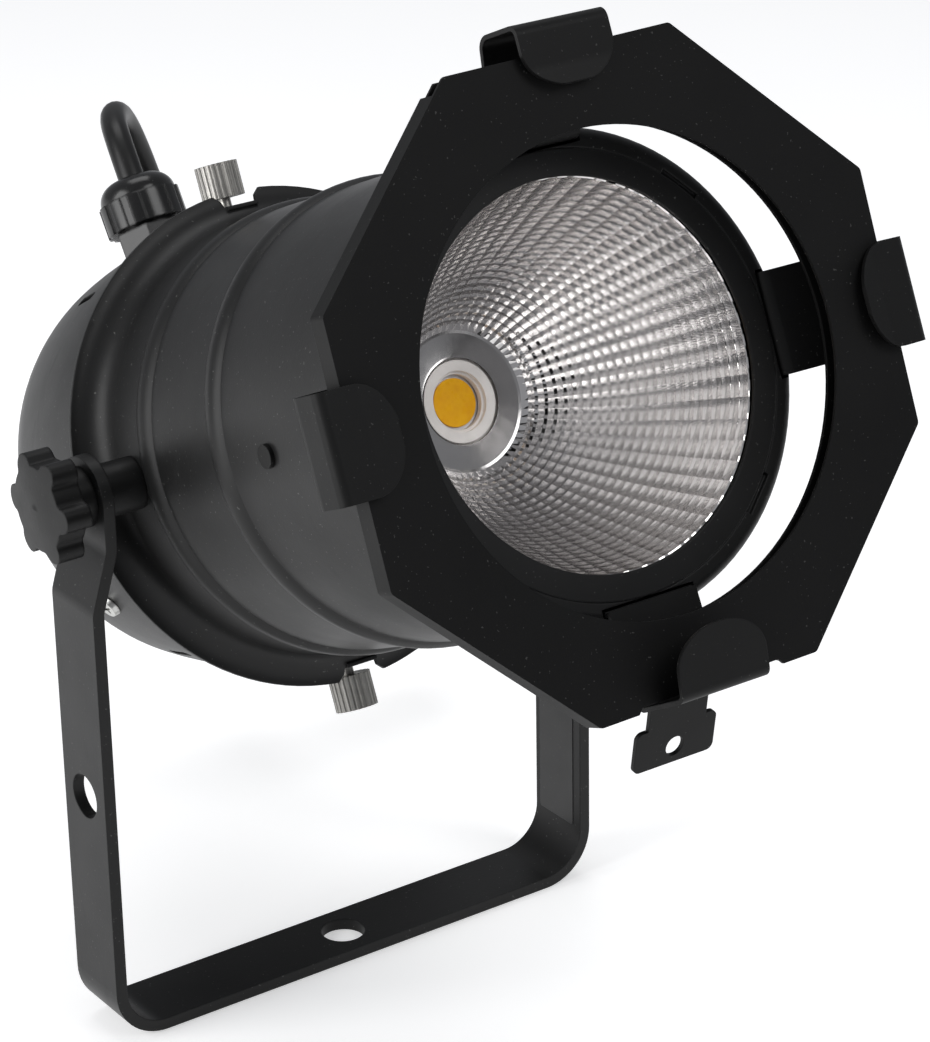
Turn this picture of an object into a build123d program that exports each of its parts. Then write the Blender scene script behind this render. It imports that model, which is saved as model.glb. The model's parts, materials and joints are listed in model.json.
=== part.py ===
from build123d import *
from math import cos, radians, sin, sqrt, tan
import os

os.makedirs("parts", exist_ok=True)

# ---------------------------------------------------------------- main sizes, in millimetres
pivot_height = 132.65        # pivot axis above the yoke's underside
rest_tilt = 24.0             # the can points this far above the horizontal, in degrees

yoke_half_width = 67.25      # outer face of each leg
yoke_width = 18.0            # flat bar width
yoke_thickness = 2.8
yoke_step_in = 4.25          # the upper end of each leg steps in towards the can
yoke_step_low = 108.6
yoke_step_high = 122.5
yoke_bend_outer = 13.0
bolt_hole_radius = 5.25      # M10 clearance

can_radius = 50.4
sheet = 1.0
flare_radius = 7.0           # radius of the flared rear edge, in section
flare_start = -5.5
can_front = 108.5
bead_height = 1.2
bead_half = 3.5
bead_positions = (9.6, 41.6)

dome_radius = 53.0
dome_start = -14.5
flank_radius = 206.9         # the dome's outline bends slowly along its flank
flank_turn = 11.0
shoulder_radius = 42.9       # and faster over its shoulder
shoulder_turn = 59.9

opening_radius = 40.2
frame_size = 130.0           # filter frame, across flats
frame_hole = 49.0
frame_thickness = 5.2
frame_front = 123.64         # centre of the frame's front face along the can's axis
clip_width = 22.0

thumb_along = -18.5          # the thumbscrews sit this far behind the pivot
stud_radius = 2.5            # M5
cord_radius = 3.2

# ---------------------------------------------------------------- planes that follow the tilted can
tilt = radians(rest_tilt)
pivot = Vector(0, 0, pivot_height)
forward = Vector(0, -cos(tilt), sin(tilt))
upward = Vector(0, sin(tilt), cos(tilt))
rightward = Vector(1, 0, 0)
head = Plane(origin=pivot, x_dir=rightward, z_dir=forward)           # x right, y up, z forward
section = Plane(origin=pivot, x_dir=forward, z_dir=(-1, 0, 0))       # x forward, y up
head_axis = Axis(pivot, forward)


def in_head(x, y, z):
    """A point given in the can's own frame: right, up, forward of the pivot."""
    return pivot + rightward * x + upward * y + forward * z


def radial_plane(angle, along):
    """A plane on the can's axis at a distance along it, facing out at an angle from the right."""
    return Plane(origin=in_head(0, 0, along), x_dir=forward, z_dir=outward_at(angle))


def outward_at(angle):
    """The direction square to the can's axis, at an angle from the right."""
    return rightward * cos(radians(angle)) + upward * sin(radians(angle))


def profile_plane(angle):
    """A plane through the can's axis: x forward, y outward at an angle from the right."""
    return Plane(origin=pivot, x_dir=forward, z_dir=forward.cross(outward_at(angle)))


# the filter frame leans a little in its clips
frame_plane = Plane(head.location * Location((0, -1.4, frame_front), (2.93, -1.66, 0.99)))

# ---------------------------------------------------------------- yoke
with BuildPart() as yoke:
    half = yoke_half_width
    step = half - yoke_step_in
    top = pivot_height + yoke_width / 2
    bend_inner = yoke_bend_outer - yoke_thickness
    with BuildSketch(Plane.XZ):
        with BuildLine():
            outer = FilletPolyline((-step, top), (-step, yoke_step_high), (-half, yoke_step_low), (-half, 0),
                                   (half, 0), (half, yoke_step_low), (step, yoke_step_high), (step, top),
                                   radius=[6, 6, yoke_bend_outer, yoke_bend_outer, 6, 6])
            offset(outer, amount=yoke_thickness, side=Side.LEFT, closed=True)
        make_face()
    extrude(amount=yoke_width / 2, both=True)
    # rounded leg ends about the pivot
    with BuildSketch(Plane.YZ.offset(-100)):
        with Locations((0, (pivot_height - 5) / 2)):
            Rectangle(yoke_width, pivot_height + 5)
        with Locations((0, pivot_height)):
            Circle(yoke_width / 2)
    extrude(amount=200, mode=Mode.INTERSECT)
    with Locations((0, 0, 0)):
        Cylinder(bolt_hole_radius, 20, mode=Mode.SUBTRACT)
    with Locations((0, 0, 60.8)):
        Cylinder(bolt_hole_radius, 200, rotation=(0, 90, 0), mode=Mode.SUBTRACT)
    with Locations((0, 0, pivot_height)):
        Cylinder(stud_radius + 0.06, 200, rotation=(0, 90, 0), mode=Mode.SUBTRACT)
yoke.part.label = "yoke"

with BuildPart() as yoke_label:
    with BuildSketch(Plane.YZ.offset(yoke_half_width - yoke_thickness - 0.15)):
        with Locations((0.6, 33)):
            RectangleRounded(13.4, 40, 0.8)
    extrude(amount=0.15)
yoke_label.part.label = "yoke_label"

# ---------------------------------------------------------------- can body
flare_centre = can_radius + flare_radius
flare_end = flare_start - flare_radius
flange_inner = 44.5
ring_step = 0.8
flange_front = can_front - ring_step
reflector_front = flange_front - 1.0
corner = 2.4
with BuildPart() as can_body:
    with BuildSketch(section):
        with BuildLine():
            r_in = can_radius - sheet
            Line((flare_end, flare_centre), (flare_end - sheet, flare_centre))
            RadiusArc((flare_end, flare_centre), (flare_start, can_radius), -flare_radius)
            RadiusArc((flare_end - sheet, flare_centre), (flare_start, r_in), -flare_radius - sheet)
            start_x = flare_start
            for centre in bead_positions:
                Line((start_x, can_radius), (centre - bead_half, can_radius))
                ThreePointArc((centre - bead_half, can_radius), (centre, can_radius + bead_height),
                              (centre + bead_half, can_radius))
                Line((start_x, r_in), (centre - bead_half, r_in))
                ThreePointArc((centre - bead_half, r_in), (centre, r_in + bead_height),
                              (centre + bead_half, r_in))
                start_x = centre + bead_half
            Line((start_x, can_radius), (can_front - corner, can_radius))
            RadiusArc((can_front - corner, can_radius), (can_front, can_radius - corner), corner)
            Line((can_front, can_radius - corner), (can_front, 45.9))
            Line((can_front, 45.9), (flange_front, 45.9))
            Line((flange_front, 45.9), (flange_front, flange_inner))
            Line((flange_front, flange_inner), (flange_front - sheet, flange_inner))
            Line((flange_front - sheet, flange_inner), (flange_front - sheet, r_in - 1.0))
            Line((flange_front - sheet, r_in - 1.0), (flange_front - sheet - 1.0, r_in))
            Line((flange_front - sheet - 1.0, r_in), (start_x, r_in))
        make_face()
    revolve(axis=head_axis)
    # notches in the flared edge for the two thumbscrews
    with BuildSketch(head.offset(flare_end - 3)):
        for side in (1, -1):
            with BuildLine():
                Polyline((-4.2, side * 54.2), (4.2, side * 54.2), (4.6, side * 55.6), (6.4, side * 57.2),
                         (10.5, side * 59), (-10.5, side * 59), (-6.4, side * 57.2), (-4.6, side * 55.6),
                         close=True)
            make_face()
    extrude(amount=8, mode=Mode.SUBTRACT)
    # two slotted tongues that reach back over the dome, under the thumbscrews
    for side in (1, -1):
        with BuildSketch(head.offset(-24.5)):
            with Locations((0, side * 53.75)):
                Rectangle(8.0, 0.9)
        extrude(amount=13.9)
        with BuildSketch(head.offset(-26)):
            with Locations((0, side * 53.75)):
                Rectangle(3.6, 4)
        extrude(amount=9.4, mode=Mode.SUBTRACT)
    # four short slots in the lip, beside the front ring
    with BuildSketch(head.offset(flange_front)):
        with PolarLocations(46.2, 4, start_angle=45):
            Rectangle(1.3, 9.6)
    extrude(amount=3, mode=Mode.SUBTRACT)
    # slots for the four clip legs, and their rivet holes
    with BuildSketch(head.offset(flange_front - 4)):
        with Locations((0, 47), (0, -47)):
            Rectangle(clip_width + 1.2, 2.2)
        with Locations((47, 0), (-47, 0)):
            Rectangle(2.2, clip_width + 1.2)
    extrude(amount=8, mode=Mode.SUBTRACT)
    with Locations(head * Location((0, 0, 62))):
        Cylinder(1.6, 120, rotation=(90, 0, 0), mode=Mode.SUBTRACT)
        Cylinder(1.6, 120, rotation=(0, 90, 0), mode=Mode.SUBTRACT)
    with Locations(head.location):
        Cylinder(stud_radius + 0.06, 120, rotation=(0, 90, 0), mode=Mode.SUBTRACT)
can_body.part.label = "can_body"

with BuildPart() as front_ring:
    with BuildSketch(head.offset(flange_front)):
        Circle(45.8)
        Circle(opening_radius, mode=Mode.SUBTRACT)
    extrude(amount=ring_step)
front_ring.part.label = "front_ring"

# studs on the back of the ring, with nuts behind the reflector's rim
with BuildPart() as ring_screws:
    with Locations(head * Location((0, 0, flange_front))):
        with PolarLocations(43.0, 4, start_angle=45):
            Cylinder(1.4, 5.2, align=(Align.CENTER, Align.CENTER, Align.MAX))
    with BuildSketch(head.offset(reflector_front - 1)):
        with PolarLocations(43.0, 4, start_angle=45):
            RegularPolygon(2.3, 6)
    extrude(amount=-2.0)
ring_screws.part.label = "ring_screws"

# ---------------------------------------------------------------- rear dome
neck_radius = 49.25
neck_front = -5.4
with BuildPart() as rear_dome:
    with BuildSketch(section):
        Polygon((dome_start - 0.5, 0), (neck_front, 0), (neck_front, neck_radius), (dome_start - 0.5, neck_radius),
                align=None)
    revolve(axis=head_axis)
    # outer skin first, then the hollow: a short straight rim and three tangent arcs
    for inset, start, mode in ((0, dome_start, Mode.ADD), (sheet, dome_start - sheet, Mode.SUBTRACT)):
        with BuildSketch(section):
            with BuildLine():
                rim = (dome_start - 1.5, dome_radius - inset)
                Line((start, dome_radius - inset), rim)
                flank = JernArc(rim, (-1, 0), flank_radius - inset, flank_turn)
                shoulder = JernArc(flank @ 1, flank % 1, shoulder_radius - inset, shoulder_turn)
                # the rear cap is centred on the axis
                turned = flank_turn + shoulder_turn
                cap = JernArc(shoulder @ 1, shoulder % 1, (shoulder @ 1).Y / cos(radians(turned)), 90 - turned)
                Polyline(cap @ 1, (start, 0), (start, dome_radius - inset))
            make_face()
        revolve(axis=head_axis, mode=mode)
    with BuildSketch(section):
        Polygon((dome_start - 1.5, 0), (0, 0), (0, neck_radius - sheet), (dome_start - 1.5, neck_radius - sheet),
                align=None)
    revolve(axis=head_axis, mode=Mode.SUBTRACT)
    # vent slots
    for angle in (55, 125, 235, 305):
        with BuildSketch(radial_plane(angle, -40).offset(40)):
            SlotOverall(9, 2.6)
        extrude(amount=20, mode=Mode.SUBTRACT)
    # thumbscrew holes, bracket screw holes
    with Locations(head * Location((0, 0, thumb_along))):
        Cylinder(1.8, 130, rotation=(90, 0, 0), mode=Mode.SUBTRACT)
    for angle in (211, 329):
        with Locations(radial_plane(angle, -38).location):
            Cylinder(1.6, 60, align=(Align.CENTER, Align.CENTER, Align.MIN), mode=Mode.SUBTRACT)
    # cable gland hole
    gland_dir = (upward * cos(radians(10)) - forward * sin(radians(10))).normalized()
    gland_plane = Plane(origin=in_head(0, 50.2, -56.5), x_dir=rightward, z_dir=gland_dir)
    with Locations(gland_plane.location):
        Cylinder(7.6, 20, mode=Mode.SUBTRACT)
rear_dome.part.label = "rear_dome"

with BuildPart() as gland_body:
    with BuildSketch(gland_plane.offset(-12)):
        Circle(7.5)
    extrude(amount=12)
    with BuildSketch(gland_plane.offset(-1.1)):
        RegularPolygon(8.6, 6)
    extrude(amount=6.3)
    with BuildSketch(gland_plane.offset(5.2)):
        Circle(7.4)
    extrude(amount=6.5)
    with BuildSketch(gland_plane.offset(-12)):
        Circle(cord_radius)
    extrude(amount=24, mode=Mode.SUBTRACT)
gland_body.part.label = "gland_body"

with BuildPart() as gland_locknut:
    with BuildSketch(gland_plane.offset(-8.2)):
        RegularPolygon(10.0, 6)
        Circle(7.5, mode=Mode.SUBTRACT)
    extrude(amount=3.2)
gland_locknut.part.label = "gland_locknut"

nut_height = 7.2
with BuildPart() as gland_nut:
    with BuildSketch(gland_plane.offset(5.6)):
        Circle(9.9)
        with PolarLocations(9.95, 12, start_angle=10):
            Rectangle(1.1, 1.9, mode=Mode.SUBTRACT)
    extrude(amount=nut_height)
    with BuildSketch(Plane(origin=gland_plane.origin, x_dir=rightward, z_dir=rightward.cross(gland_dir))):
        with BuildLine():
            low = 5.6 + nut_height
            Line((0, low - 0.5), (9.2, low - 0.5))
            Line((9.2, low - 0.5), (9.2, low))
            ThreePointArc((9.2, low), (8.0, low + 3.4), (5.0, low + 5.0))
            Line((5.0, low + 5.0), (0, low + 5.0))
            Line((0, low + 5.0), (0, low - 0.5))
        make_face()
    revolve(axis=Axis(gland_plane.origin, gland_dir))
    with BuildSketch(gland_plane.offset(5)):
        Circle(7.4)
    extrude(amount=6.7, mode=Mode.SUBTRACT)
    with BuildSketch(gland_plane.offset(11.7)):
        Circle(4.6)
    extrude(amount=10, mode=Mode.SUBTRACT)
gland_nut.part.label = "gland_nut"

with BuildPart() as gland_seal:
    with BuildSketch(gland_plane.offset(11.7)):
        Circle(4.6)
        Circle(cord_radius, mode=Mode.SUBTRACT)
    extrude(amount=5.4)
gland_seal.part.label = "gland_seal"

# ---------------------------------------------------------------- reflector, LED and heat sink
reflector_neck = 58.8
neck_r = 15.8
focal_4 = (opening_radius ** 2 - neck_r ** 2) / (flange_front - reflector_neck)
reflector_base = reflector_neck - neck_r ** 2 / focal_4
reflector_stations = [reflector_neck + (reflector_front - reflector_neck) * k / 8 for k in range(9)]
bowl = [(z, sqrt(focal_4 * (z - reflector_base))) for z in reflector_stations]
with BuildPart() as reflector:
    with BuildSketch(section):
        with BuildLine():
            inner = Spline(*bowl)
            outer = Spline(*[(z - 0.6, r + 1.0) for z, r in bowl])
            Polyline(inner @ 1, (reflector_front, 45.6), (reflector_front - 1, 45.6),
                     (reflector_front - 1, (outer @ 1).Y + 0.3), outer @ 1)
            Polyline(inner @ 0, (reflector_neck, 9.3), (reflector_neck - 1, 9.3),
                     (reflector_neck - 1, (outer @ 0).Y - 0.4), outer @ 0)
        make_face()
    revolve(axis=head_axis)
    with Locations(head * Location((0, 0, reflector_front))):
        with PolarLocations(43.0, 4, start_angle=45):
            Cylinder(1.45, 6, mode=Mode.SUBTRACT)
reflector.part.label = "reflector"

sink_front = 54.3
with BuildPart() as heat_sink:
    with BuildSketch(head.offset(48)):
        Circle(49.2)
    extrude(amount=4)
    with BuildSketch(head.offset(52)):
        Circle(17)
    extrude(amount=sink_front - 52)
    with BuildSketch(head.offset(18)):
        with GridLocations(7.0, 0, 11, 1):
            Rectangle(1.6, 90)
        Circle(43, mode=Mode.INTERSECT)
    extrude(amount=30)
    with BuildSketch(head.offset(18)):
        Rectangle(20, 20)
    extrude(amount=30)
heat_sink.part.label = "heat_sink"

with BuildPart() as led_board:
    with BuildSketch(head.offset(sink_front)):
        RectangleRounded(13.5, 13.5, 0.6)
    extrude(amount=1.0)
led_board.part.label = "led_board"

with BuildPart() as led_phosphor:
    with BuildSketch(head.offset(sink_front + 1.0)):
        Circle(5.25)
    extrude(amount=0.6)
led_phosphor.part.label = "led_phosphor"

with BuildPart() as led_holder:
    with BuildSketch(head.offset(sink_front)):
        Circle(14.5)
        Rectangle(14, 14, mode=Mode.SUBTRACT)
        with PolarLocations(12.2, 2, start_angle=90):
            Circle(1.25, mode=Mode.SUBTRACT)
    extrude(amount=1.3)
    with BuildSketch(head.offset(sink_front + 1.3)):
        Circle(14.5)
        Circle(6.0, mode=Mode.SUBTRACT)
        with PolarLocations(12.2, 2, start_angle=90):
            Circle(1.25, mode=Mode.SUBTRACT)
    extrude(amount=1.4)
    with BuildSketch(head.offset(sink_front + 2.7)):
        Circle(8.9)
        Circle(6.6, mode=Mode.SUBTRACT)
    extrude(amount=1.0)
led_holder.part.label = "led_holder"

with BuildPart() as holder_screws:
    with Locations(head * Location((0, 0, sink_front))):
        with PolarLocations(12.2, 2, start_angle=90):
            Cylinder(1.2, 2.7, align=(Align.CENTER, Align.CENTER, Align.MIN))
            with Locations((0, 0, 2.7)):
                Cylinder(2.0, 0.7, align=(Align.CENTER, Align.CENTER, Align.MIN))
holder_screws.part.label = "holder_screws"

# ---------------------------------------------------------------- driver inside the dome
with BuildPart() as driver_bracket:
    with BuildSketch(Plane(origin=in_head(0, -22.2, 0), x_dir=rightward, z_dir=upward)):
        with Locations((0, 39)):
            Rectangle(88, 10)
        with Locations((0, 52)):
            Rectangle(60, 30)
    extrude(amount=1.4)
    for angle in (211, 329):
        with BuildSketch(radial_plane(angle, -38.5).offset(47.8)):
            with Locations((0, 0.4)):
                Rectangle(8, 12)
        extrude(amount=1.6)
        with Locations(radial_plane(angle, -38).location):
            Cylinder(1.45, 60, align=(Align.CENTER, Align.CENTER, Align.MIN), mode=Mode.SUBTRACT)
driver_bracket.part.label = "driver_bracket"

with BuildPart() as driver:
    with BuildSketch(Plane(origin=in_head(0, -20.8, 0), x_dir=rightward, z_dir=upward)):
        with Locations((0, 50)):
            RectangleRounded(54, 33, 2)
    extrude(amount=24)
driver.part.label = "driver"

with BuildPart() as dome_screws:
    for angle in (211, 329):
        with Locations(radial_plane(angle, -38).location * Location((0, 0, 46.5))):
            Cylinder(1.45, 6.0, align=(Align.CENTER, Align.CENTER, Align.MIN))
        with BuildSketch(radial_plane(angle, -38).offset(52.2)):
            Circle(2.8)
        extrude(amount=1.3, taper=20)
        with BuildSketch(radial_plane(angle, -38).offset(52.7)):
            Rectangle(2.6, 0.6)
            Rectangle(0.6, 2.6)
        extrude(amount=2, mode=Mode.SUBTRACT)
dome_screws.part.label = "dome_screws"

with BuildPart() as cord_inner:
    with BuildSketch(gland_plane.offset(-14)):
        Circle(cord_radius)
    extrude(amount=24.5)
cord_inner.part.label = "cord_inner"

with BuildPart() as supply_leads:
    with Locations(gland_plane.location * Location((0, 0, -14))):
        for x in (-1.6, 0, 1.6):
            with Locations((x, 0, 0)):
                Cylinder(0.75, 16, align=(Align.CENTER, Align.CENTER, Align.MAX))
supply_leads.part.label = "supply_leads"

with BuildPart() as led_leads:
    with Locations(head * Location((0, -8, -33.4))):
        for x in (-3, 3):
            with Locations((x, 0, 0)):
                Cylinder(0.8, 51.3, align=(Align.CENTER, Align.CENTER, Align.MIN))
led_leads.part.label = "led_leads"

# ---------------------------------------------------------------- clips that hold the filter frame
leg_start = 53.0
leg_inner = 46.5
tongue_half = clip_width / 2
tongue_round = 8.0


# each clip: angle about the axis, tip of its tongue, where the tongue begins, inner face, bend radii
clip_shapes = {
    "clip_top": (90, 56.1, 125.0, [(leg_start, leg_inner), (109.6, leg_inner), (114.5, 61), (116.3, 68.8),
                                   (127.9, 68.8), (127.9, 60), (128.8, 56.3)], [2.5, 10, 2.5, 1.3, 8]),
    "clip_right": (0, 56.7, 123.5, [(leg_start, leg_inner), (109.6, leg_inner), (114.3, 62), (116.0, 70),
                                    (126.6, 70), (126.6, 62), (127.5, 56.9)], [2.5, 10, 2.5, 1.3, 8]),
    "clip_left": (180, 55.7, 120.0, [(leg_start, leg_inner), (109.6, leg_inner), (112.6, 62), (113.8, 70.5),
                                     (122.9, 70.5), (122.9, 62), (123.8, 55.9)], [2.5, 10, 2.5, 1.3, 8]),
    "clip_release": (270, 52.3, 125.5, [(110.0, 46.6), (110.7, 58), (111.6, 66.6), (126.7, 65.2),
                                        (129.2, 52.3)], [20, 2, 1.2]),
}
clips = {}
for name, (angle, tip, tongue_start, inner_face, bends) in clip_shapes.items():
    with BuildPart() as clip:
        with BuildSketch(profile_plane(angle)):
            with BuildLine():
                bend_line = FilletPolyline(*inner_face, radius=bends)
                offset(bend_line, amount=sheet, side=Side.LEFT, closed=True)
            make_face()
        extrude(amount=tongue_half, both=True)
        # rounded tongue
        with BuildSketch(Plane(origin=in_head(0, 0, tongue_start), x_dir=outward_at(angle), z_dir=forward)):
            with Locations((tip + tongue_round - 10, 0)):
                Rectangle(20, 60)
            with Locations((tip + tongue_round, 0)):
                Ellipse(tongue_round, tongue_half, mode=Mode.SUBTRACT)
        extrude(amount=8, mode=Mode.SUBTRACT)
        with BuildSketch(radial_plane(angle, 62).offset(40)):
            Circle(1.6)
        extrude(amount=12, mode=Mode.SUBTRACT)
        # pull tab of the sprung clip
        if name == "clip_release":
            tab_normal = forward * 0.84 - upward * 0.54
            tab_plane = Plane(origin=in_head(0, -68.7, 109.3), x_dir=rightward, z_dir=tab_normal)
            with BuildSketch(tab_plane.offset(-0.5)):
                with Locations((0, -1.4)):
                    Rectangle(14.8, 6.2)
                with Locations((0, -8.8)):
                    RectangleRounded(20.4, 9.6, 1.6)
                with Locations((0, -9.7)):
                    Circle(2.25, mode=Mode.SUBTRACT)
            extrude(amount=1.0)
    clip.part.label = name
    clips[name] = clip
clip_top, clip_right, clip_left, clip_release = clips.values()

# the sprung clip's leg stays in the can
with BuildPart() as clip_leg:
    with BuildSketch(section):
        with Locations(((leg_start + 108.6) / 2, -leg_inner - sheet / 2)):
            Rectangle(108.6 - leg_start, sheet)
    extrude(amount=tongue_half, both=True)
    with Locations(head * Location((0, 0, 62))):
        Cylinder(1.6, 120, rotation=(90, 0, 0), mode=Mode.SUBTRACT)
clip_leg.part.label = "clip_leg"

with BuildPart() as clip_rivets:
    for angle in (0, 90, 180, 270):
        for start, length, radius in ((45.6, 0.9, 2.8), (45.6, 5.6, 1.6), (can_radius, 1.0, 2.6)):
            with BuildSketch(radial_plane(angle, 62).offset(start)):
                Circle(radius)
            extrude(amount=length)
clip_rivets.part.label = "clip_rivets"

# ---------------------------------------------------------------- filter frame
plate = 0.8
with BuildPart() as filter_frame:
    with BuildSketch(frame_plane.offset(-plate)) as front_face:
        RegularPolygon(frame_size / 2, 8, major_radius=False, rotation=22.5)
        fillet(front_face.vertices(), 1.5)
        Circle(frame_hole, mode=Mode.SUBTRACT)
        with BuildLine():
            Polyline((-18.6, -66), (-16.6, -63.8), (17.4, -63.8), (19.4, -66), close=True)
        make_face(mode=Mode.SUBTRACT)
    extrude(amount=plate)
    # folded side walls, open at the top where the filter goes in
    with BuildSketch(frame_plane.offset(-frame_thickness)) as walls:
        RegularPolygon(frame_size / 2, 8, major_radius=False, rotation=22.5)
        fillet(walls.vertices(), 1.5)
        RegularPolygon(frame_size / 2 - plate, 8, major_radius=False, rotation=22.5, mode=Mode.SUBTRACT)
        with Locations((0, 65)):
            Rectangle(60, 6, mode=Mode.SUBTRACT)
        with Locations((0.4, -65)):
            Rectangle(40, 6, mode=Mode.SUBTRACT)
    extrude(amount=frame_thickness - plate)
filter_frame.part.label = "filter_frame"

with BuildPart() as filter_frame_back:
    with BuildSketch(frame_plane.offset(-frame_thickness)) as back_face:
        RegularPolygon(frame_size / 2 - plate, 8, major_radius=False, rotation=22.5)
        Circle(frame_hole + 1, mode=Mode.SUBTRACT)
        with Locations((0.4, -65)):
            Rectangle(38, 4.6, mode=Mode.SUBTRACT)
    extrude(amount=plate)
filter_frame_back.part.label = "filter_frame_back"

# ---------------------------------------------------------------- pivot hardware
step_out = yoke_half_width - yoke_step_in
step_in = step_out - yoke_thickness
with BuildPart() as pivot_spacers:
    for side in (1, -1):
        with Locations((side * (step_in - 0.05 + 46) / 2, 0, pivot_height)):
            Cylinder(6.0, step_in - 0.05 - 46, rotation=(0, 90, 0))
    with Locations(head * Location((0, 0, 0))):
        Cylinder(can_radius + 0.02, 60, mode=Mode.SUBTRACT)
    with Locations((0, 0, pivot_height)):
        Cylinder(stud_radius + 0.06, 150, rotation=(0, 90, 0), mode=Mode.SUBTRACT)
pivot_spacers.part.label = "pivot_spacers"

with BuildPart() as pivot_nuts:
    for side in (1, -1):
        with BuildSketch(Plane(origin=(side * 45.1, 0, pivot_height), x_dir=(0, 1, 0), z_dir=(side, 0, 0))):
            RegularPolygon(4.6, 6)
            Circle(stud_radius + 0.06, mode=Mode.SUBTRACT)
        extrude(amount=4)
pivot_nuts.part.label = "pivot_nuts"


def knob_plane(side):
    """A plane on the outer face of a yoke leg, facing out along the pivot."""
    return Plane(origin=(side * (step_out + 0.05), 0, pivot_height), x_dir=(0, 1, 0), z_dir=(side, 0, 0))


collar_length = 4.7
knob_length = 11.8
knob_crown = 76.0
knobs = []
studs = []
for side, name in ((-1, "left"), (1, "right")):
    base = knob_plane(side)
    with BuildPart() as knob:
        with BuildSketch(base):
            Circle(6.8)
        extrude(amount=collar_length)
        with BuildSketch(base.offset(collar_length)) as star:
            Circle(9.7)
            with PolarLocations(9.7, 6, start_angle=side * -2.5):
                Circle(2.9)
            fillet(star.vertices(), 1.3)
        extrude(amount=knob_length - collar_length)
        # slightly domed outer face
        with Locations(base.offset(knob_length - knob_crown).location):
            Sphere(knob_crown, mode=Mode.INTERSECT)
        with BuildSketch(base.offset(-1)):
            Circle(stud_radius)
        extrude(amount=8, mode=Mode.SUBTRACT)
    knob.part.label = f"knob_{name}"
    knobs.append(knob)
    with BuildPart() as stud:
        with BuildSketch(base.offset(44 - step_out - 0.05)):
            Circle(stud_radius)
        extrude(amount=step_out + 0.05 - 44 + 7)
    stud.part.label = f"knob_{name}_stud"
    studs.append(stud)
knob_left, knob_right = knobs
knob_left_stud, knob_right_stud = studs

# ---------------------------------------------------------------- thumbscrews
thumb_low = 56.5
thumb_height = 8.0
thumbs = []
for angle, name in ((90, "top"), (270, "bottom")):
    base = radial_plane(angle, thumb_along)
    with BuildPart() as thumb:
        with BuildSketch(base.offset(47)):
            Circle(1.4)
        extrude(amount=thumb_low - 47)
        with BuildSketch(base.offset(thumb_low)):
            Circle(5.0)
            with PolarLocations(5.05, 24):
                Circle(0.38, mode=Mode.SUBTRACT)
        extrude(amount=thumb_height)
        with BuildSketch(base.offset(thumb_low + thumb_height - 0.5)):
            Circle(3.2)
        extrude(amount=1, mode=Mode.SUBTRACT)
    thumb.part.label = f"thumbscrew_{name}"
    thumbs.append(thumb)
thumbscrew_top, thumbscrew_bottom = thumbs

with BuildPart() as thumb_nuts:
    for angle in (90, 270):
        with BuildSketch(radial_plane(angle, thumb_along).offset(48.4)):
            RegularPolygon(3.1, 6, rotation=30)
            Circle(1.46, mode=Mode.SUBTRACT)
        extrude(amount=3.2)
thumb_nuts.part.label = "thumb_nuts"

# ---------------------------------------------------------------- mains cord
def cord_radii(points):
    """The largest even arc for each corner of a route."""
    radii = []
    for before, here, after in zip(points, points[1:], points[2:]):
        a, b = Vector(*here) - Vector(*before), Vector(*after) - Vector(*here)
        radii.append(0.45 * min(a.length, b.length) / tan(radians(a.get_angle(b)) / 2))
    return radii


# the put-away length: an oval coil of four turns side by side, hanging behind the can
cord_width = 2 * cord_radius
coil_left, coil_right = 20.5, 58.9      # the middle of its two straight sides
coil_low, coil_high = 66.0, 108.0       # where the straight sides meet the end loops
coil_near, coil_far = 96.4, 120.4       # the ends of its helix
coil_middle = (coil_left + coil_right) / 2
coil_top = coil_high + (coil_right - coil_left) / 2

cord_exit = gland_plane.origin + gland_dir * 10.5
cord_bend = gland_plane.origin + gland_dir * 25
cord_route = [tuple(cord_exit), tuple(cord_bend), (4.6, 98.5, 181.0), (13.2, 109.3, 177.6), (20.2, 114.3, 166.2),
              (25.0, 115.2, 152.8), (33.6, 116.6, 142.2), (44.4, 118.2, 133.6), (53.6, 119.6, 123.4),
              (coil_right - 0.8, coil_far - 0.2, 110.6), (coil_right, coil_far, 98.0)]
print("cord corner radii", [round(r, 1) for r in cord_radii(cord_route)])
with BuildPart() as power_cord:
    with BuildLine():
        route = FilletPolyline(*cord_route, radius=cord_radii(cord_route))
    with BuildSketch(Plane(origin=route @ 0, z_dir=route % 0)):
        Circle(cord_radius)
    sweep()
power_cord.part.label = "power_cord"

plug_x, plug_y = 82.0, 102.0
relief_top = 90.0
tail_route = [(coil_middle + 5, coil_near, coil_top), (58.4, 97.0, coil_top + 0.4), (71.2, 98.4, coil_top - 4.6),
              (79.2, 100.2, coil_top - 14.2), (plug_x, plug_y, coil_top - 26.0), (plug_x, plug_y + 0.1, relief_top)]
print("tail corner radii", [round(r, 1) for r in cord_radii(tail_route)])
with BuildPart() as cord_tail:
    with BuildLine():
        tail = FilletPolyline(*tail_route, radius=cord_radii(tail_route))
    with BuildSketch(Plane(origin=tail @ 0, z_dir=tail % 0)):
        Circle(cord_radius)
    sweep()
cord_tail.part.label = "cord_tail"

with BuildPart() as cord_hank:
    with BuildSketch(Plane(origin=(coil_middle, coil_near - cord_radius, (coil_low + coil_high) / 2),
                           x_dir=(0, 0, 1), z_dir=(0, 1, 0))):
        SlotCenterToCenter(coil_high - coil_low, coil_right - coil_left + cord_width)
        SlotCenterToCenter(coil_high - coil_low, coil_right - coil_left - cord_width, mode=Mode.SUBTRACT)
    extrude(amount=coil_far - coil_near + cord_width)
    fillet(cord_hank.edges().filter_by(GeomType.CIRCLE), 2.4)
cord_hank.part.label = "cord_hank"

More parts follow.
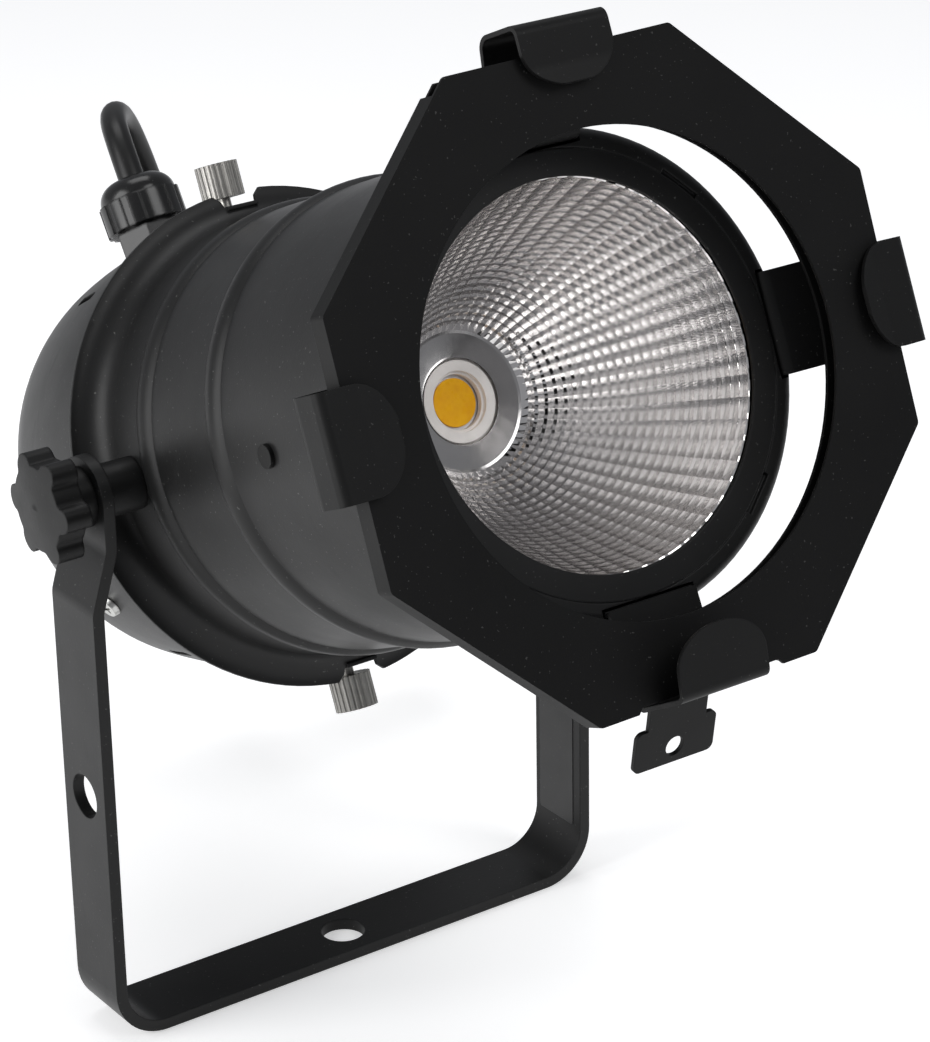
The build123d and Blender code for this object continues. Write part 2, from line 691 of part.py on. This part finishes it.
tie_gap = 0.02
with BuildPart() as cord_tie:
    with BuildSketch(Plane.XY.offset((coil_low + coil_high) / 2 - 6)):
        with Locations((coil_left, (coil_near + coil_far) / 2), (coil_right, (coil_near + coil_far) / 2)):
            RectangleRounded(cord_width + 2.4, coil_far - coil_near + cord_width + 2.4, 3.2)
            Rectangle(cord_width + tie_gap, coil_far - coil_near + cord_width + tie_gap, mode=Mode.SUBTRACT)
    extrude(amount=12)
cord_tie.part.label = "cord_tie"

plug_face = relief_top - 56
with BuildPart() as power_plug:
    with BuildSketch(Plane.XY.offset(plug_face)):
        with Locations((plug_x, plug_y)):
            Circle(18)
            Rectangle(37, 27, mode=Mode.INTERSECT)
    extrude(amount=9)
    with BuildSketch(Plane.XY.offset(plug_face + 9)):
        with Locations((plug_x, plug_y)):
            Ellipse(15.4, 13.4)
    with BuildSketch(Plane.XY.offset(plug_face + 36)):
        with Locations((plug_x, plug_y)):
            Circle(7.4)
    loft()
    with BuildSketch(Plane.XY.offset(plug_face + 36)):
        with Locations((plug_x, plug_y)):
            Circle(5.6)
    extrude(amount=20, taper=2.6)
power_plug.part.label = "power_plug"

with BuildPart() as plug_pins:
    with Locations((plug_x - 9.5, plug_y, plug_face), (plug_x + 9.5, plug_y, plug_face)):
        Cylinder(2.4, 19, align=(Align.CENTER, Align.CENTER, Align.MAX))
plug_pins.part.label = "plug_pins"

# ---------------------------------------------------------------- files
everything = [yoke, yoke_label, can_body, front_ring, ring_screws, rear_dome, gland_body, gland_locknut, gland_nut,
              gland_seal, reflector, heat_sink, led_board, led_phosphor, led_holder, holder_screws, driver_bracket,
              driver, dome_screws, cord_inner, supply_leads, led_leads, clip_top, clip_right, clip_left, clip_leg,
              clip_rivets, clip_release, filter_frame, filter_frame_back, pivot_spacers, pivot_nuts, knob_left,
              knob_right, knob_left_stud, knob_right_stud, thumbscrew_top, thumbscrew_bottom, thumb_nuts,
              power_cord, cord_tail, cord_hank, cord_tie, power_plug, plug_pins]
for piece in everything:
    export_step(piece.part, f"parts/{piece.part.label}.step")
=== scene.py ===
import json
from math import cos, pi, radians, sin, sqrt

import bmesh
import bpy
from mathutils import Matrix, Vector


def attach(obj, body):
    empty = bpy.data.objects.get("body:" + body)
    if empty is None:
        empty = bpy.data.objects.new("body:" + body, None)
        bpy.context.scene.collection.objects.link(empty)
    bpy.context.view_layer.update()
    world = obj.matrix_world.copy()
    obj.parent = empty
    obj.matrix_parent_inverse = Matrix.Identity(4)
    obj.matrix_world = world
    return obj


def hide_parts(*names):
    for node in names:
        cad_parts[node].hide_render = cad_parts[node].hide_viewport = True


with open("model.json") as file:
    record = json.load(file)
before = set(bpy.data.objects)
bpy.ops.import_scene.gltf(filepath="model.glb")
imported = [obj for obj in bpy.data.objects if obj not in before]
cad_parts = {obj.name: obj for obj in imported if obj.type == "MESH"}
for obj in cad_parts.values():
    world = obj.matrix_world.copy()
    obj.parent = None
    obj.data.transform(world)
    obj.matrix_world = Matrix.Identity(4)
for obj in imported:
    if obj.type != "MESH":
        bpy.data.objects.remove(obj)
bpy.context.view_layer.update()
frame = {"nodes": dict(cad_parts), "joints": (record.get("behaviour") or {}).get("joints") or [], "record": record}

nodes = frame["nodes"]
joints = {joint["name"]: joint for joint in frame["joints"]}
MM = 0.001


# ---------------------------------------------------------------- the can's own directions
PIVOT = Vector(joints["tilt"]["pos_m"])
RIGHT = Vector(joints["tilt"]["axis"])
UPWARD = Vector(joints["thumbscrew_top_turn"]["axis"])
FORWARD = RIGHT.cross(UPWARD)


def in_head(x, y, z):
    """A point given in millimetres in the can's own frame: right, up, forward of the pivot."""
    return PIVOT + (RIGHT * x + UPWARD * y + FORWARD * z) * MM


# ---------------------------------------------------------------- node helpers for materials
class Paint:
    """A material with a Principled shader, and short ways to add and link nodes."""

    def __init__(self, name):
        self.material = bpy.data.materials.new(name)
        self.material.use_nodes = True
        self.tree = self.material.node_tree
        self.shader = self.tree.nodes["Principled BSDF"]
        self.place = self.add("ShaderNodeTexCoord").outputs["Object"]

    def add(self, kind, **settings):
        node = self.tree.nodes.new(kind)
        for name, value in settings.items():
            setattr(node, name, value)
        return node

    def link(self, a, b):
        self.tree.links.new(a, b)

    def fix(self, **values):
        """Sets constant values on the shader's own sockets."""
        for name, value in values.items():
            self.shader.inputs[name.replace("_", " ")].default_value = value

    def noise(self, scale, detail=3.0, rough=0.5, place=None):
        node = self.add("ShaderNodeTexNoise")
        node.inputs["Scale"].default_value = scale
        node.inputs["Detail"].default_value = detail
        node.inputs["Roughness"].default_value = rough
        self.link(place or self.place, node.inputs["Vector"])
        return node.outputs["Fac"]

    def stretched(self, scale, turn=(0, 0, 0)):
        """Object coordinates scaled by a different amount each way, for grain."""
        node = self.add("ShaderNodeMapping")
        node.inputs["Scale"].default_value = scale
        node.inputs["Rotation"].default_value = turn
        self.link(self.place, node.inputs["Vector"])
        return node.outputs["Vector"]

    def ramp(self, value, stops):
        """A colour ramp; stops are (place, colour) with colour a grey or (r, g, b)."""
        node = self.add("ShaderNodeValToRGB")
        elements = node.color_ramp.elements
        while len(elements) < len(stops):
            elements.new(0.5)
        for element, (at, colour) in zip(elements, stops):
            element.position = at
            rgb = colour if isinstance(colour, tuple) else (colour,) * 3
            element.color = (*rgb, 1)
        self.link(value, node.inputs["Fac"])
        return node.outputs["Color"]

    def spread(self, value, low, high, from_low=0.3, from_high=0.7):
        node = self.add("ShaderNodeMapRange")
        limits = {"From Min": from_low, "From Max": from_high, "To Min": low, "To Max": high}
        for name, number in limits.items():
            node.inputs[name].default_value = number
        self.link(value, node.inputs["Value"])
        return node.outputs["Result"]

    def mix(self, a, b, factor, kind="MIX"):
        node = self.add("ShaderNodeMix", data_type="RGBA", blend_type=kind)
        for socket, value in ((node.inputs[6], a), (node.inputs[7], b), (node.inputs[0], factor)):
            if isinstance(value, bpy.types.NodeSocket):
                self.link(value, socket)
            else:
                socket.default_value = value if isinstance(value, float) else (*value, 1)
        return node.outputs[2]

    def sum(self, a, b, operation="ADD"):
        node = self.add("ShaderNodeMath", operation=operation)
        for socket, value in zip(node.inputs, (a, b)):
            if isinstance(value, bpy.types.NodeSocket):
                self.link(value, socket)
            else:
                socket.default_value = value
        return node.outputs[0]

    def bump(self, height, distance, strength=1.0, rounding=None):
        """Bump from a height, on top of softly rounded edges where rounding is given in metres."""
        node = self.add("ShaderNodeBump")
        node.inputs["Strength"].default_value = strength
        node.inputs["Distance"].default_value = distance
        self.link(height, node.inputs["Height"])
        if rounding:
            bevel = self.add("ShaderNodeBevel", samples=4)
            bevel.inputs["Radius"].default_value = rounding
            self.link(bevel.outputs["Normal"], node.inputs["Normal"])
        self.link(node.outputs["Normal"], self.shader.inputs["Normal"])

    def colour(self, socket):
        self.link(socket, self.shader.inputs["Base Color"])

    def roughness(self, socket):
        self.link(socket, self.shader.inputs["Roughness"])


def powder_coat(name, grey, rough, specular, rounding, dust=0.5):
    """Black powder coat: fine orange peel, uneven sheen, faint rubs and specks of dust."""
    paint = Paint(name)
    base = paint.ramp(paint.noise(45, 4), [(0.3, grey * 0.86), (0.7, grey * 1.14)])
    rubs = paint.ramp(paint.noise(1, 5, 0.65, paint.stretched((30, 160, 60), (0.3, 0.2, 0.5))),
                      [(0.60, 0.0), (0.74, 1.0)])
    base = paint.mix(base, (grey * 1.5,) * 3, paint.sum(rubs, 0.35, "MULTIPLY"))
    specks = paint.ramp(paint.noise(1500, 1), [(0.735, 0.0), (0.76, 1.0)])
    base = paint.mix(base, (0.13, 0.13, 0.125), paint.sum(specks, dust, "MULTIPLY"))
    paint.colour(base)
    uneven = paint.spread(paint.noise(26, 5, 0.6), rough - 0.05, rough + 0.06)
    paint.roughness(paint.sum(uneven, paint.sum(rubs, 0.05, "MULTIPLY")))
    peel = paint.sum(paint.noise(2300, 2), paint.sum(paint.noise(620, 2), 0.6, "MULTIPLY"))
    paint.bump(peel, 0.00003, 0.5, rounding)
    paint.fix(Specular_IOR_Level=specular)
    return paint.material


def moulded(name, grey, rough, specular=0.5, grain=900, depth=0.00002, rounding=0.0004, warm=1.0):
    """Moulded plastic or rubber: fine grain, uneven gloss, pale dust in the hollows of the grain."""
    paint = Paint(name)
    tint = (grey, grey * warm, grey * warm * warm)
    dark, light = tuple(c * 0.85 for c in tint), tuple(c * 1.2 for c in tint)
    base = paint.ramp(paint.noise(70, 4), [(0.3, dark), (0.7, light)])
    specks = paint.ramp(paint.noise(1700, 1), [(0.74, 0.0), (0.77, 0.5)])
    paint.colour(paint.mix(base, tuple(min(1, c * 3 + 0.03) for c in tint), specks))
    paint.roughness(paint.spread(paint.noise(60, 5, 0.6), rough - 0.06, rough + 0.08))
    paint.bump(paint.noise(grain, 3), depth, 0.6, rounding)
    paint.fix(Specular_IOR_Level=specular)
    return paint.material


def metal(name, colour, rough, grain=(900, 40, 900), depth=0.000012, rounding=0.0003, stain=0.8):
    """Bare or plated metal: drawn grain, uneven roughness and darker patches."""
    paint = Paint(name)
    dull = tuple(c * stain for c in colour)
    paint.colour(paint.ramp(paint.noise(120, 5, 0.6), [(0.35, dull), (0.6, colour)]))
    drawn = paint.noise(1, 4, 0.6, paint.stretched(grain))
    paint.roughness(paint.spread(drawn, rough - 0.07, rough + 0.12))
    paint.bump(drawn, depth, 0.5, rounding)
    paint.fix(Metallic=1.0)
    return paint.material


def mirror_coat(name, bright, rough):
    """Vacuum-coated aluminium on moulded plastic: bright, almost neutral, with a faint ripple."""
    paint = Paint(name)
    low, high = ((tone, tone * 0.975, tone * 0.962) for tone in (bright * 0.93, bright * 1.04))
    paint.colour(paint.ramp(paint.noise(90, 3), [(0.3, low), (0.7, high)]))
    paint.roughness(paint.spread(paint.noise(300, 4, 0.6), rough - 0.04, rough + 0.04))
    ripple = paint.sum(paint.noise(1400, 2), paint.noise(420, 2))
    paint.bump(ripple, 0.000012, 0.5)
    paint.fix(Metallic=1.0)
    return paint.material


def phosphor_gel():
    """Yellow phosphor under clear silicone: a fine grid of dies just shows through."""
    paint = Paint("phosphor_gel")
    cells = paint.add("ShaderNodeTexVoronoi")
    cells.inputs["Scale"].default_value = 900
    paint.link(paint.place, cells.inputs["Vector"])
    grainy = paint.ramp(cells.outputs["Distance"], [(0.1, (0.92, 0.40, 0.006)), (0.7, (1.0, 0.50, 0.010))])
    broad = paint.ramp(paint.noise(240, 2), [(0.35, (0.90, 0.40, 0.006)), (0.65, (1.0, 0.54, 0.014))])
    paint.colour(paint.mix(grainy, broad, 0.5))
    paint.roughness(paint.spread(paint.noise(500, 3), 0.22, 0.38))
    paint.bump(paint.noise(800, 2), 0.00002, 0.4, 0.0002)
    paint.fix(Coat_Weight=0.08, Coat_Roughness=0.15, Specular_IOR_Level=0.2)
    return paint.material


COAT = powder_coat("powder_coat", 0.0095, 0.39, 0.20, 0.0005)
THIN_COAT = powder_coat("thin_coat", 0.0048, 0.50, 0.12, 0.0003, dust=0.3)
CLIP_COAT = powder_coat("clip_coat", 0.0058, 0.46, 0.14, 0.0003, dust=0.3)
KNOB = moulded("knob_plastic", 0.006, 0.42, 0.19, grain=1100, depth=0.00003, rounding=0.0007)
NYLON = moulded("gland_nylon", 0.007, 0.22, 0.36, grain=500, depth=0.00001, rounding=0.0006)
RUBBER = moulded("seal_rubber", 0.018, 0.7, 0.3, grain=1500, depth=0.00004)
CABLE = moulded("cable_rubber", 0.008, 0.36, 0.26, grain=700, depth=0.00002, rounding=None)
PLUG = moulded("plug_rubber", 0.013, 0.5, 0.4, grain=1300, depth=0.00004, rounding=0.0008)
LABEL = moulded("label_film", 0.022, 0.34, 0.25, grain=300, depth=0.00001, rounding=0.0001)
WHITE = moulded("white_plastic", 0.93, 0.45, 0.4, grain=900, rounding=0.0002, warm=0.955)
CASE = moulded("driver_case", 0.55, 0.5, 0.4)
LEAD = moulded("lead_sheath", 0.2, 0.4, 0.5, warm=0.6)
ZINC = metal("zinc_plate", (0.60, 0.60, 0.58), 0.34)
NICKEL = metal("nickel_plate", (0.34, 0.33, 0.31), 0.36, grain=(300, 300, 2400), rounding=0.00015)
ALUMINIUM = metal("bare_aluminium", (0.75, 0.75, 0.76), 0.4)
BRASS = metal("plated_pins", (0.70, 0.66, 0.56), 0.26)
MIRROR = mirror_coat("mirror_coat", 0.70, 0.06)
NECK_COAT = mirror_coat("neck_coat", 0.42, 0.16)
PHOSPHOR = phosphor_gel()

LOOKS = {
    "powder_black": COAT, "gel_frame_black": THIN_COAT, "knob_plastic": KNOB, "gland_nylon": NYLON,
    "zinc_steel": ZINC, "nickel_steel": NICKEL, "bright_aluminium": MIRROR, "sink_aluminium": ALUMINIUM,
    "white_plastic": WHITE, "phosphor": PHOSPHOR, "driver_plastic": CASE, "cord_rubber": CABLE,
    "seal_rubber": RUBBER, "plug_rubber": PLUG, "pin_brass": BRASS, "lead_sheath": LEAD, "label_film": LABEL,
}
for part in frame["record"]["subparts"]:
    nodes[part["node"]].data.materials.clear()
    look = LOOKS[part["material_slot"]]
    if look is COAT and part["node"].startswith("clip_"):
        look = CLIP_COAT
    nodes[part["node"]].data.materials.append(look)


# ---------------------------------------------------------------- mesh helpers
def new_piece(name, mesh, material, body):
    piece = bpy.data.objects.new(name, mesh)
    bpy.context.scene.collection.objects.link(piece)
    mesh.materials.append(material)
    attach(piece, body)
    return piece


def finish_mesh(shape, name, crease):
    """Turns a bmesh into a mesh, smooth but for edges sharper than the crease."""
    bmesh.ops.recalc_face_normals(shape, faces=shape.faces)
    for face in shape.faces:
        face.smooth = True
    for edge in shape.edges:
        edge.smooth = len(edge.link_faces) == 2 and edge.calc_face_angle() < crease
    mesh = bpy.data.meshes.new(name)
    shape.to_mesh(mesh)
    shape.free()
    return mesh


# ---------------------------------------------------------------- faceted reflector
FLUTES = 54
RINGS = 24
ACROSS = 4                  # mesh steps across one facet
ALONG = 3                   # mesh steps along one facet
RING_BULGE = 0.18           # how far a facet swells along the bowl, mm
FLUTE_BULGE = 0.075         # and across it, as a part of the flute's width
NECK = (15.8, 58.8)         # radius and place of the bowl's neck, mm
MOUTH = (40.1, 106.7)       # and of its mouth
FLANGE = 45.3
NECK_DISC = 15.5            # radius of the duller disc inside the neck
BOWL_STEPS = 8000           # fine steps for measuring along the bowl
focal = (MOUTH[0] ** 2 - NECK[0] ** 2) / (MOUTH[1] - NECK[1])


def bowl_at(radius):
    return NECK[1] + (radius ** 2 - NECK[0] ** 2) / focal


def bowl_radii(count):
    """Radii that cut the bowl's outline into equal lengths."""
    fine = [NECK[0] + (MOUTH[0] - NECK[0]) * k / BOWL_STEPS for k in range(BOWL_STEPS + 1)]
    run = [0.0]
    for a, b in zip(fine, fine[1:]):
        run.append(run[-1] + sqrt((b - a) ** 2 + (bowl_at(b) - bowl_at(a)) ** 2))
    radii = []
    for k in range(count + 1):
        wanted = run[-1] * k / count
        radii.append(next(radius for radius, r in zip(fine, run) if r >= wanted - 1e-9))
    return radii


def build_reflector():
    shape = bmesh.new()
    columns, rows = FLUTES * ACROSS, RINGS * ALONG
    marks = bowl_radii(rows)
    loops = []
    for row, radius in enumerate(marks):
        place = bowl_at(radius)
        along = (row % ALONG) / ALONG
        ring_bulge = RING_BULGE * 4 * along * (1 - along)
        slope = sqrt(1 + (focal / (2 * radius)) ** 2)
        out, back = (focal / (2 * radius)) / slope, 1 / slope
        loop = []
        for column in range(columns):
            across = (column % ACROSS) / ACROSS
            bulge = ring_bulge + FLUTE_BULGE * (2 * pi * radius / FLUTES) * 4 * across * (1 - across)
            angle = 2 * pi * (column + 0.5) / columns
            r = radius + bulge * out
            loop.append(shape.verts.new(in_head(r * cos(angle), r * sin(angle), place - bulge * back)))
        loops.append(loop)
    # smooth neck disc with a rounded step, the flange at the mouth and the back of the shell
    shell = [(15.2, 58.35), (14.6, 58.2), (9.9, 58.2), (9.4, 58.3),
             (9.3, 58.5), (9.3, 58.0), (9.4, 57.8), (15.6, 57.8)]
    outer = [(r + 1.2, bowl_at(r) - 0.8) for r in marks[::6]]
    shell += outer + [(41.6, MOUTH[1] - 1.0), (FLANGE, MOUTH[1] - 1.0), (FLANGE, MOUTH[1]),
                      (MOUTH[0] + 0.35, MOUTH[1])]
    for radius, place in shell:
        loop = []
        for column in range(columns):
            angle = 2 * pi * (column + 0.5) / columns
            loop.append(shape.verts.new(in_head(radius * cos(angle), radius * sin(angle), place)))
        loops.append(loop)
    order = [loops[k] for k in range(rows, -1, -1)] + loops[rows + 1:]
    for a, b in zip(order, order[1:] + order[:1]):
        for column in range(columns):
            after = (column + 1) % columns
            shape.faces.new((a[column], a[after], b[after], b[column]))
    mesh = finish_mesh(shape, "faceted_reflector", radians(12))
    piece = new_piece("faceted_reflector", mesh, MIRROR, "head")
    # the flat neck disc is duller than the facets
    mesh.materials.append(NECK_COAT)
    for face in mesh.polygons:
        spot = face.center - PIVOT
        if (spot - FORWARD * spot.dot(FORWARD)).length < NECK_DISC * MM:
            face.material_index = 1
    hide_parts("reflector")


build_reflector()


# ---------------------------------------------------------------- mains cord
CORD_RADIUS = 3.2
TURNS = 3.79
POINTS_A_TURN = 24
COIL_START = 16.0           # the cord joins the coil this far below the top of its right side
COIL_LEFT, COIL_RIGHT = 20.5, 58.9
COIL_LOW, COIL_HIGH = 66.0, 108.0
COIL_NEAR, COIL_FAR = 96.4, 120.4
COIL_MIDDLE, COIL_RADIUS = (COIL_LEFT + COIL_RIGHT) / 2, (COIL_RIGHT - COIL_LEFT) / 2
COIL_REACH = COIL_RADIUS * 1.015    # the curve cuts inside its points on the bends


def coil_points():
    """The oval coil, in millimetres: down its right side, round below, up its left side and over.

    The points are evenly spaced, because a short step next to a long one puts a kink in the curve.
    """
    straight, half = COIL_HIGH - COIL_LOW, pi * COIL_RADIUS
    count = round(TURNS * POINTS_A_TURN)
    points = []
    for step in range(count):
        run = (COIL_START + step / POINTS_A_TURN * 2 * (straight + half)) % (2 * (straight + half))
        if run < straight:
            x, z = COIL_RIGHT, COIL_HIGH - run
        elif run < straight + half:
            angle = (straight - run) / COIL_RADIUS
            x, z = COIL_MIDDLE + COIL_REACH * cos(angle), COIL_LOW + COIL_REACH * sin(angle)
        elif run < 2 * straight + half:
            x, z = COIL_LEFT, COIL_LOW + run - straight - half
        else:
            angle = pi - (run - 2 * straight - half) / COIL_RADIUS
            x, z = COIL_MIDDLE + COIL_REACH * cos(angle), COIL_HIGH + COIL_REACH * sin(angle)
        points.append((x, COIL_FAR + (COIL_NEAR - COIL_FAR) * step / (count - 1), z))
    return points


GLAND = in_head(0, 50.2, -56.5) / MM
GLAND_DIR = (UPWARD * cos(radians(10)) - FORWARD * sin(radians(10))).normalized()
COIL_TOP = COIL_HIGH + COIL_RADIUS
cord_points = [
    tuple(GLAND + GLAND_DIR * 10.5), tuple(GLAND + GLAND_DIR * 25), (4.6, 98.5, 181.0), (13.2, 109.3, 177.6),
    (20.2, 114.3, 166.2), (25.0, 115.2, 152.8), (33.6, 116.6, 142.2), (44.4, 118.2, 133.6),
    (53.6, 119.6, 123.4),
    (COIL_RIGHT - 0.8, COIL_FAR - 0.2, 110.6), (COIL_RIGHT, COIL_FAR, 101.0),
] + coil_points() + [
    (COIL_MIDDLE + 5, COIL_NEAR, COIL_TOP), (58.4, 97.0, COIL_TOP + 0.4), (71.2, 98.4, COIL_TOP - 4.6),
    (79.2, 100.2, COIL_TOP - 14.2), (82.0, 102.0, COIL_TOP - 26.0), (82.0, 102.1, 90.0),
]


def build_cord():
    curve = bpy.data.curves.new("mains_cord", "CURVE")
    curve.dimensions = "3D"
    curve.bevel_depth = CORD_RADIUS * MM
    curve.bevel_resolution = 7
    curve.resolution_u = 10
    curve.use_fill_caps = True
    spline = curve.splines.new("NURBS")
    spline.points.add(len(cord_points) - 1)
    for point, place in zip(spline.points, cord_points):
        point.co = (*(c * MM for c in place), 1)
    spline.order_u = 3
    spline.use_endpoint_u = True
    cord = bpy.data.objects.new("mains_cord", curve)
    bpy.context.scene.collection.objects.link(cord)
    curve.materials.append(CABLE)
    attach(cord, "head")
    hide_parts("power_cord", "cord_tail", "cord_hank")
    return cord


cord = build_cord()


# ---------------------------------------------------------------- floor, light and camera
def build_floor():
    mesh = bpy.data.meshes.new("floor")
    half = 6.0
    corners = [(-half, -half, 0), (half, -half, 0), (half, half, 0), (-half, half, 0)]
    mesh.from_pydata(corners, [], [(0, 1, 2, 3)])
    floor = bpy.data.objects.new("floor", mesh)
    bpy.context.scene.collection.objects.link(floor)
    floor.location.z = -0.0002
    paint = Paint("studio_floor")
    paint.colour(paint.ramp(paint.noise(3, 2), [(0.3, (0.86, 0.86, 0.86)), (0.7, (0.88, 0.88, 0.88))]))
    paint.fix(Roughness=0.9, Emission_Color=(1, 1, 1, 1), Emission_Strength=0.40, Specular_IOR_Level=0.1)
    mesh.materials.append(paint.material)


def soft_light(name, place, target, width, height, power, colour=(1, 1, 1)):
    light = bpy.data.lights.new(name, "AREA")
    light.shape = "RECTANGLE"
    light.size, light.size_y = width, height
    light.energy = power
    light.color = colour
    lamp = bpy.data.objects.new(name, light)
    bpy.context.scene.collection.objects.link(lamp)
    lamp.location = place
    lamp.rotation_euler = (Vector(target) - Vector(place)).to_track_quat("-Z", "Y").to_euler()


CAMERA_TURN = (-34.933, 23.764, -1.009)     # azimuth, elevation and roll, degrees
CAMERA_TARGET = (0.037786, 0, 0.099915)
CAMERA_DISTANCE = 0.854038
CAMERA_LENS = 125.80


def build_camera():
    azimuth, elevation, roll = (radians(turn) for turn in CAMERA_TURN)
    back = Vector((sin(azimuth) * cos(elevation), -cos(azimuth) * cos(elevation), sin(elevation)))
    right = Vector((cos(azimuth), sin(azimuth), 0))
    up = back.cross(right)
    rolled_right = right * cos(roll) + up * sin(roll)
    rolled_up = up * cos(roll) - right * sin(roll)
    camera = bpy.data.cameras.new("camera")
    camera.sensor_width = 36
    camera.lens = CAMERA_LENS
    camera.clip_start, camera.clip_end = 0.05, 50
    viewer = bpy.data.objects.new("camera", camera)
    bpy.context.scene.collection.objects.link(viewer)
    place = Vector(CAMERA_TARGET) + back * CAMERA_DISTANCE
    turned = Matrix((rolled_right, rolled_up, back)).transposed().to_4x4()
    viewer.matrix_world = Matrix.Translation(place) @ turned
    bpy.context.scene.camera = viewer


build_floor()
build_camera()
centre = (0, -0.02, 0.13)
soft_light("left_softbox", (-0.85, 0.10, 0.42), centre, 0.55, 0.75, 7.0)
soft_light("front_softbox", (0.30, -0.85, 1.05), centre, 0.60, 0.60, 5.0)
soft_light("top_softbox", (0.1, 0.35, 1.1), centre, 0.7, 0.5, 3.2)
world = bpy.data.worlds.new("studio")
world.use_nodes = True
world.node_tree.nodes["Background"].inputs["Color"].default_value = (0.93, 0.95, 1.0, 1)
world.node_tree.nodes["Background"].inputs["Strength"].default_value = 0.36
bpy.context.scene.world = world
bpy.context.scene.view_settings.view_transform = "Standard"
